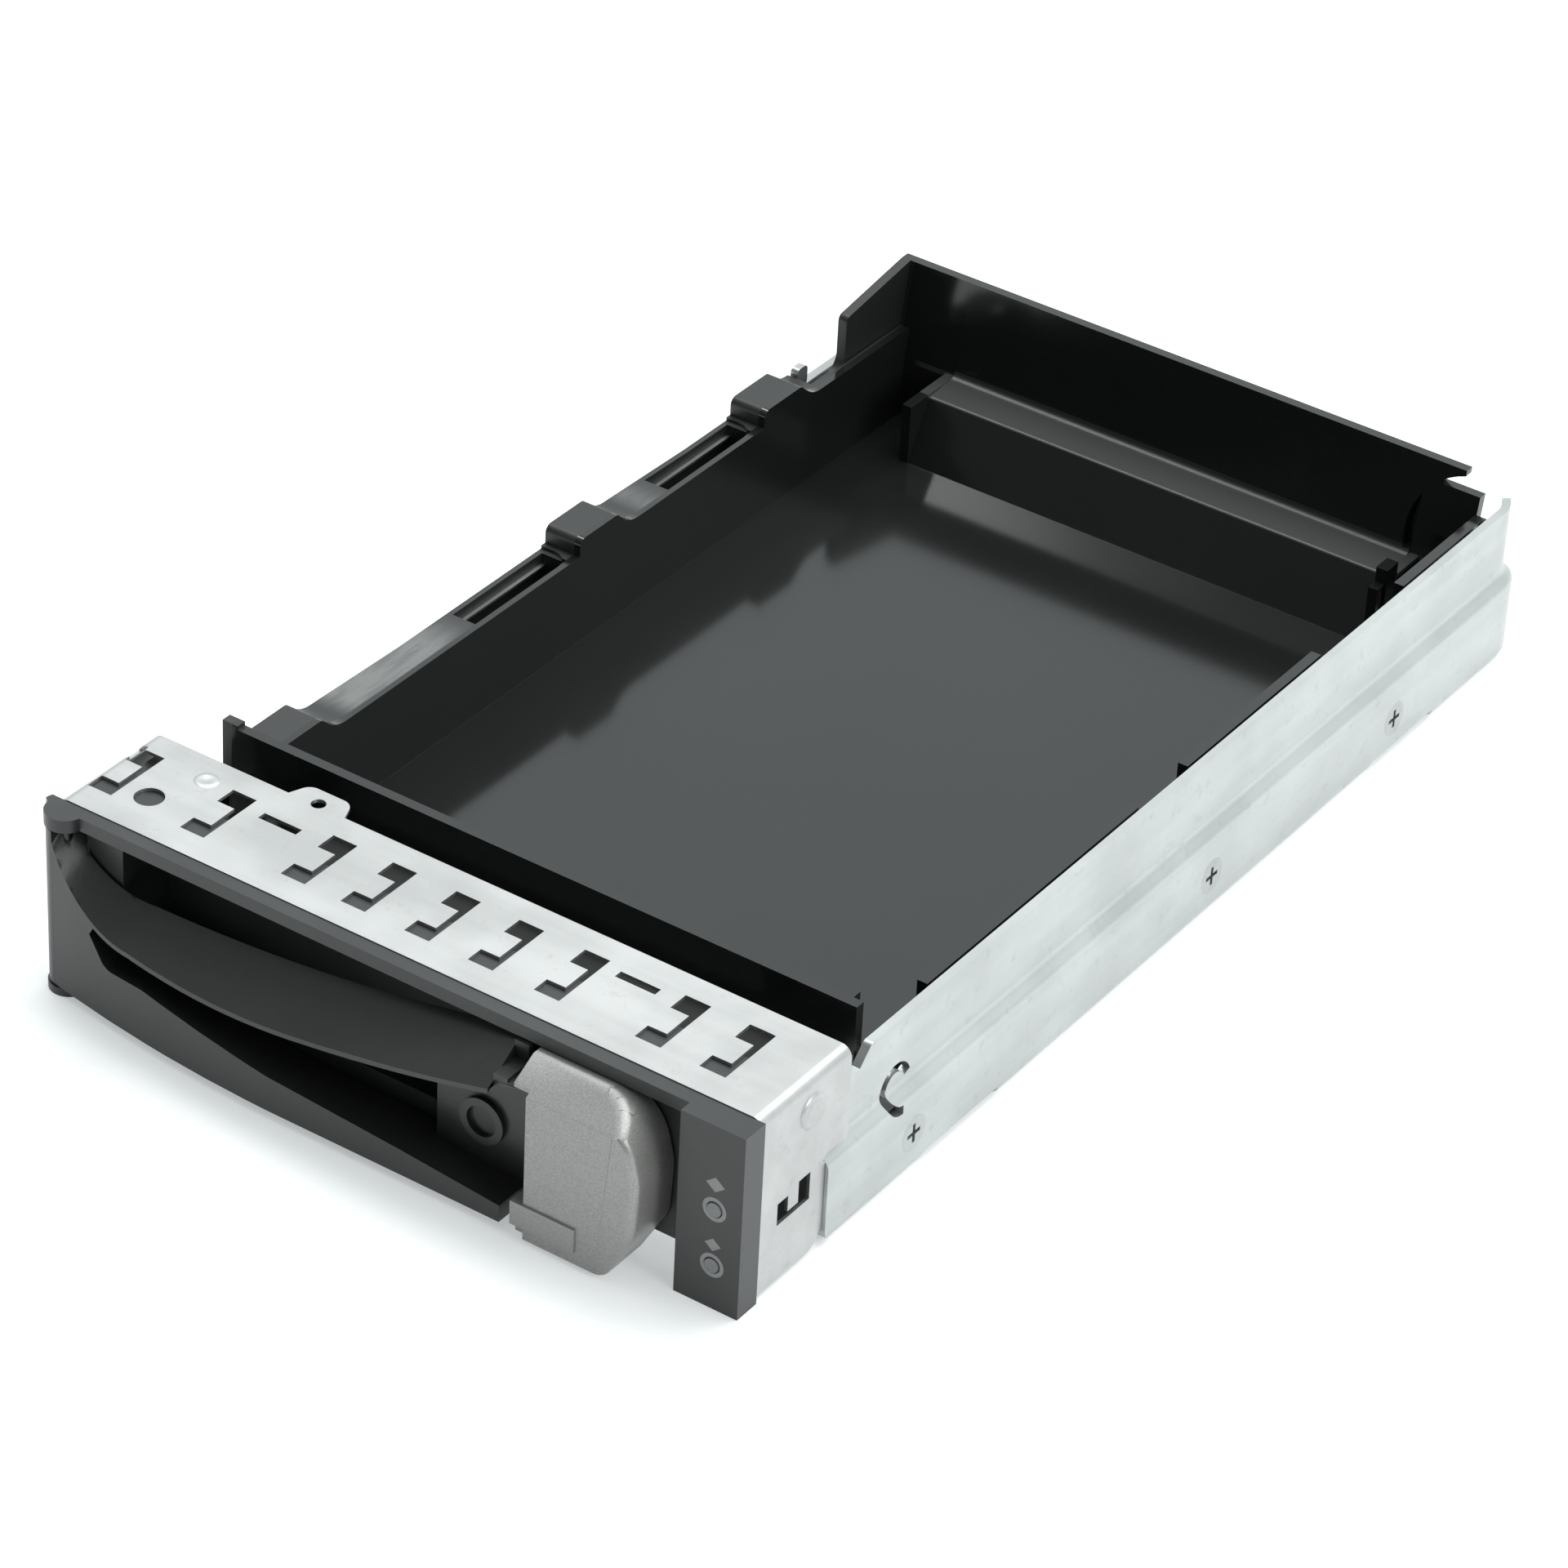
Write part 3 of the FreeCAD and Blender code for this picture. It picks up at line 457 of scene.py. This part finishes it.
def block(x0, x1, y0, y1, z0, z1):
    """A cube between places on the caddy, as a tool for a boolean modifier."""
    deselect()
    x, y, z = (x0 + x1) / 2 + middle_x, (y0 + y1) / 2 + front_y, (z0 + z1) / 2
    bpy.ops.mesh.primitive_cube_add(size=1.0, location=(x * MM, y * MM, z * MM),
                                    scale=((x1 - x0) * MM, (y1 - y0) * MM, (z1 - z0) * MM))
    bpy.ops.object.transform_apply(location=True, rotation=True, scale=True)
    return bpy.context.object


def combine(piece, operation, tool):
    """Cuts the tool out of the piece or joins it on, and removes the tool."""
    change = piece.modifiers.new("shape", "BOOLEAN")
    change.operation, change.object = operation, tool
    activate(piece)
    bpy.ops.object.modifier_apply(modifier=change.name)
    bpy.data.objects.remove(tool)


def shape_blank(piece):
    """Deepens the rim pockets' rear part, clears the left wall and backs the rear wall's arc."""
    left, right, low = pocket_left, pocket_right, pocket_floor
    for start, end in rim_pockets:
        front, rear = end - 21.0, end - 0.9
        pan = block(left - 0.5, right + 0.3, front - 1.0, rear + 0.5, low - 1.0, 14.0)
        combine(piece, "UNION", pan)
        combine(piece, "DIFFERENCE", block(left, right, front, rear, low, 17.0))
    for start, end in left_blocks:
        combine(piece, "DIFFERENCE", block(-47.3, -44.5, start, end, 1.7, 9.5))
    web = block(36.0, 39.5, 182.9, 183.8, 11.5, 23.0)
    shift(web, lambda x, y, z: z > 20, y=1.9)           # it leans back to the wall's top
    combine(piece, "UNION", web)
    flatten()


def shape_bezel(piece):
    """Trims the ears and sinks a finger recess into the wall behind the lever."""
    trim_ears(piece)
    left, right, low, high, deep = pin_x + 8.0, lever_end - 1.5, 8.0, 24.4, 9.0
    wall = 1.2
    pan = block(left - wall, right + wall, 1.0, deep + wall, low - wall, high + 0.5)
    combine(piece, "UNION", pan)
    combine(piece, "DIFFERENCE", block(left, right, -0.5, deep, low, high))
    flatten()


def close_shield(piece):
    """Brings the shield's low rear edge up to the rail."""
    shift(piece, lambda x, y, z: near(y, shield_fold_y, 0.15) and z < 13.0, y=0.45)


# Node: its finish and its shaping, then its eased edges' width, segments and least angle.
eased = {
    "right_rail": (rail_steel, None, 0.15, 1, 40), "left_rail": (rail_steel, None, 0.15, 1, 40),
    "emi_shield": (shield_steel, close_shield, 0.1, 1, 40),
    "front_bezel": (bezel_plastic, shape_bezel, 0.3, 2, 40),
    "lever": (lever_plastic, thin_crest, 0.35, 2, 40),
    "latch": (silver_paint(), round_latch, 0.25, 2, 40),
    "drive_blank": (blank_finish(), shape_blank, 0.3, 2, 40),
}
for name, (material, shaping, width, segments, over_angle) in eased.items():
    piece = merged_copy(name)
    if shaping:
        shaping(piece)
    ease_edges(piece, width, segments, over_angle)
    stand_in(piece, name, material)


def squashing_spring():
    """Finishes the latch's return spring; the real spring shortens as the latch is pressed, but
    this piece is not made to.
    """
    piece = merged_copy("latch_spring")
    bpy.ops.object.shade_smooth_by_angle(angle=math.radians(50))
    stand_in(piece, "latch_spring", bare_steel("return_spring_wire", 0.5))
    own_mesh(piece)


squashing_spring()


def pressed_dimple(name, x, y, z, across, turn, depth):
    """A shallow round dimple pressed into the shield, with a raised rim and a sunk middle."""
    deselect()
    centre = Vector(((x + middle_x) * MM, (y + front_y) * MM, z * MM))
    bpy.ops.mesh.primitive_circle_add(vertices=40, radius=across / 2 * MM, fill_type="NGON",
                                      location=centre, rotation=turn)
    bpy.ops.object.transform_apply(location=True, rotation=True, scale=True)
    piece = bpy.context.object
    piece.name = name
    out = piece.data.polygons[0].normal.copy()
    bpy.ops.object.mode_set(mode="EDIT")
    bpy.ops.mesh.select_mode(type="FACE")
    bpy.ops.mesh.select_all(action="SELECT")
    for inward, rise in ((0.3, 0.32), (0.35, 0.06), (0.45, -0.26), (0.5, -0.05)):
        bpy.ops.mesh.inset(thickness=inward * MM)
        bpy.ops.transform.translate(value=out * rise * depth * MM)
    bpy.ops.object.mode_set(mode="OBJECT")
    bpy.ops.object.shade_smooth_by_angle(angle=math.radians(50))
    piece.data.materials.append(shield_steel)
    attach(piece, "carrier")


shield_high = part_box("emi_shield")[1]
side_x = shield_high[0] / MM - middle_x
pressed_dimple("shield_dimple_side", side_x, 10.6, 22.6, 5.0, (0, math.radians(90), 0), 1.0)
pressed_dimple("shield_dimple_top", -41.8, 14.2, shield_high[2] / MM, 3.4, (0, 0, 0), 0.4)

finish_of = {"lever_pivot_pin": bare_steel("blackened_pin", 0.06),
             "lever_spring": bare_steel("spring_wire", 0.5)}
for name, piece in nodes.items():
    if name not in eased and name != "latch_spring":
        made = finish_of.get(name) or (guide if name.startswith("light_pipe") else screw_zinc)
        piece.data.materials.clear()
        piece.data.materials.append(made)


# ---------------------------------------------------------------- floor, light and camera


def stage_floor():
    """Pale floor that shows as white and keeps the object's shadow."""
    bpy.ops.mesh.primitive_plane_add(size=6.0, location=(0, 0, 0))
    floor = bpy.context.object
    floor.name = "studio_floor"
    f = Finish("studio_floor")
    lit = f.shader
    glow = f.tree.nodes.new("ShaderNodeEmission")
    both = f.tree.nodes.new("ShaderNodeAddShader")
    switch = f.tree.nodes.new("ShaderNodeMixShader")
    rays = f.tree.nodes.new("ShaderNodeLightPath")
    either = f.tree.nodes.new("ShaderNodeMath")
    either.operation = "MAXIMUM"
    f.set(Base_Color=grey(0.75), Roughness=0.9)
    lit.inputs["Specular IOR Level"].default_value = 0.0
    glow.inputs["Color"].default_value = (0.94, 0.985, 1.0, 1.0)
    glow.inputs["Strength"].default_value = 0.42
    for out, into in ((lit.outputs[0], both.inputs[0]), (glow.outputs[0], both.inputs[1]),
                      (rays.outputs["Is Camera Ray"], either.inputs[0]),
                      (rays.outputs["Is Glossy Ray"], either.inputs[1]),
                      (either.outputs[0], switch.inputs[0]),
                      (lit.outputs[0], switch.inputs[1]), (both.outputs[0], switch.inputs[2]),
                      (switch.outputs[0], f.tree.nodes["Material Output"].inputs[0])):
        f.tree.links.new(out, into)
    floor.data.materials.append(f.material)


def area_lamp(name, place, size, power):
    """A rectangular lamp that faces the object's middle."""
    data = bpy.data.lights.new(name, "AREA")
    data.shape = "RECTANGLE"
    data.size, data.size_y = size
    data.energy = power
    lamp = bpy.data.objects.new(name, data)
    bpy.context.collection.objects.link(lamp)
    lamp.location = place
    lamp.rotation_euler = (-Vector(place)).to_track_quat("-Z", "Y").to_euler()


def studio_world():
    """A bright sweep behind and above, a dim room in front; the camera sees plain white."""
    world = bpy.data.worlds.new("studio")
    bpy.context.scene.world = world
    world.use_nodes = True
    tree = world.node_tree
    sweep = tree.nodes["Background"]
    sweep.inputs["Color"].default_value = (0.93, 0.99, 1.0, 1.0)
    white = tree.nodes.new("ShaderNodeBackground")
    rays = tree.nodes.new("ShaderNodeLightPath")
    way = tree.nodes.new("ShaderNodeTexCoord")
    split = tree.nodes.new("ShaderNodeSeparateXYZ")
    reach = tree.nodes.new("ShaderNodeMath")
    reach.operation = "MULTIPLY_ADD"
    reach.inputs[1].default_value = 0.35
    level = tree.nodes.new("ShaderNodeMapRange")
    for socket, value in zip(level.inputs[1:5], (-0.45, 0.6, 0.14, 1.1)):
        socket.default_value = value
    seen = tree.nodes.new("ShaderNodeMixShader")
    for out, into in ((way.outputs["Generated"], split.inputs[0]),
                      (split.outputs[2], reach.inputs[0]), (split.outputs[1], reach.inputs[2]),
                      (reach.outputs[0], level.inputs[0]),
                      (level.outputs[0], sweep.inputs["Strength"]),
                      (rays.outputs["Is Camera Ray"], seen.inputs[0]),
                      (sweep.outputs[0], seen.inputs[1]), (white.outputs[0], seen.inputs[2]),
                      (seen.outputs[0], tree.nodes["World Output"].inputs[0])):
        tree.links.new(out, into)


def camera():
    """A long lens from the front right, above."""
    data = bpy.data.cameras.new("camera")
    data.lens, data.sensor_width = 139.97, 36.0
    data.clip_start, data.clip_end = 0.05, 20.0
    eye = bpy.data.objects.new("camera", data)
    bpy.context.collection.objects.link(eye)
    turn, rise, roll = math.radians(33.17), math.radians(34.27), math.radians(3.09)
    eye.location = (0.3656, -0.5643, 0.4627)
    turned = Matrix.Rotation(turn, 3, "Z") @ Matrix.Rotation(math.pi / 2 - rise, 3, "X")
    eye.rotation_euler = (turned @ Matrix.Rotation(roll, 3, "Z")).to_euler()
    bpy.context.scene.camera = eye


stage_floor()
studio_world()
area_lamp("overhead", (0.15, 0.35, 0.9), (0.7, 0.7), 6.0)
area_lamp("right_side", (0.9, -0.1, 0.5), (0.6, 0.5), 3.0)
area_lamp("left_strip", (-0.45, 0.22, 0.86), (0.4, 0.12), 1.6)
camera()
bpy.context.scene.view_settings.view_transform = "Standard"
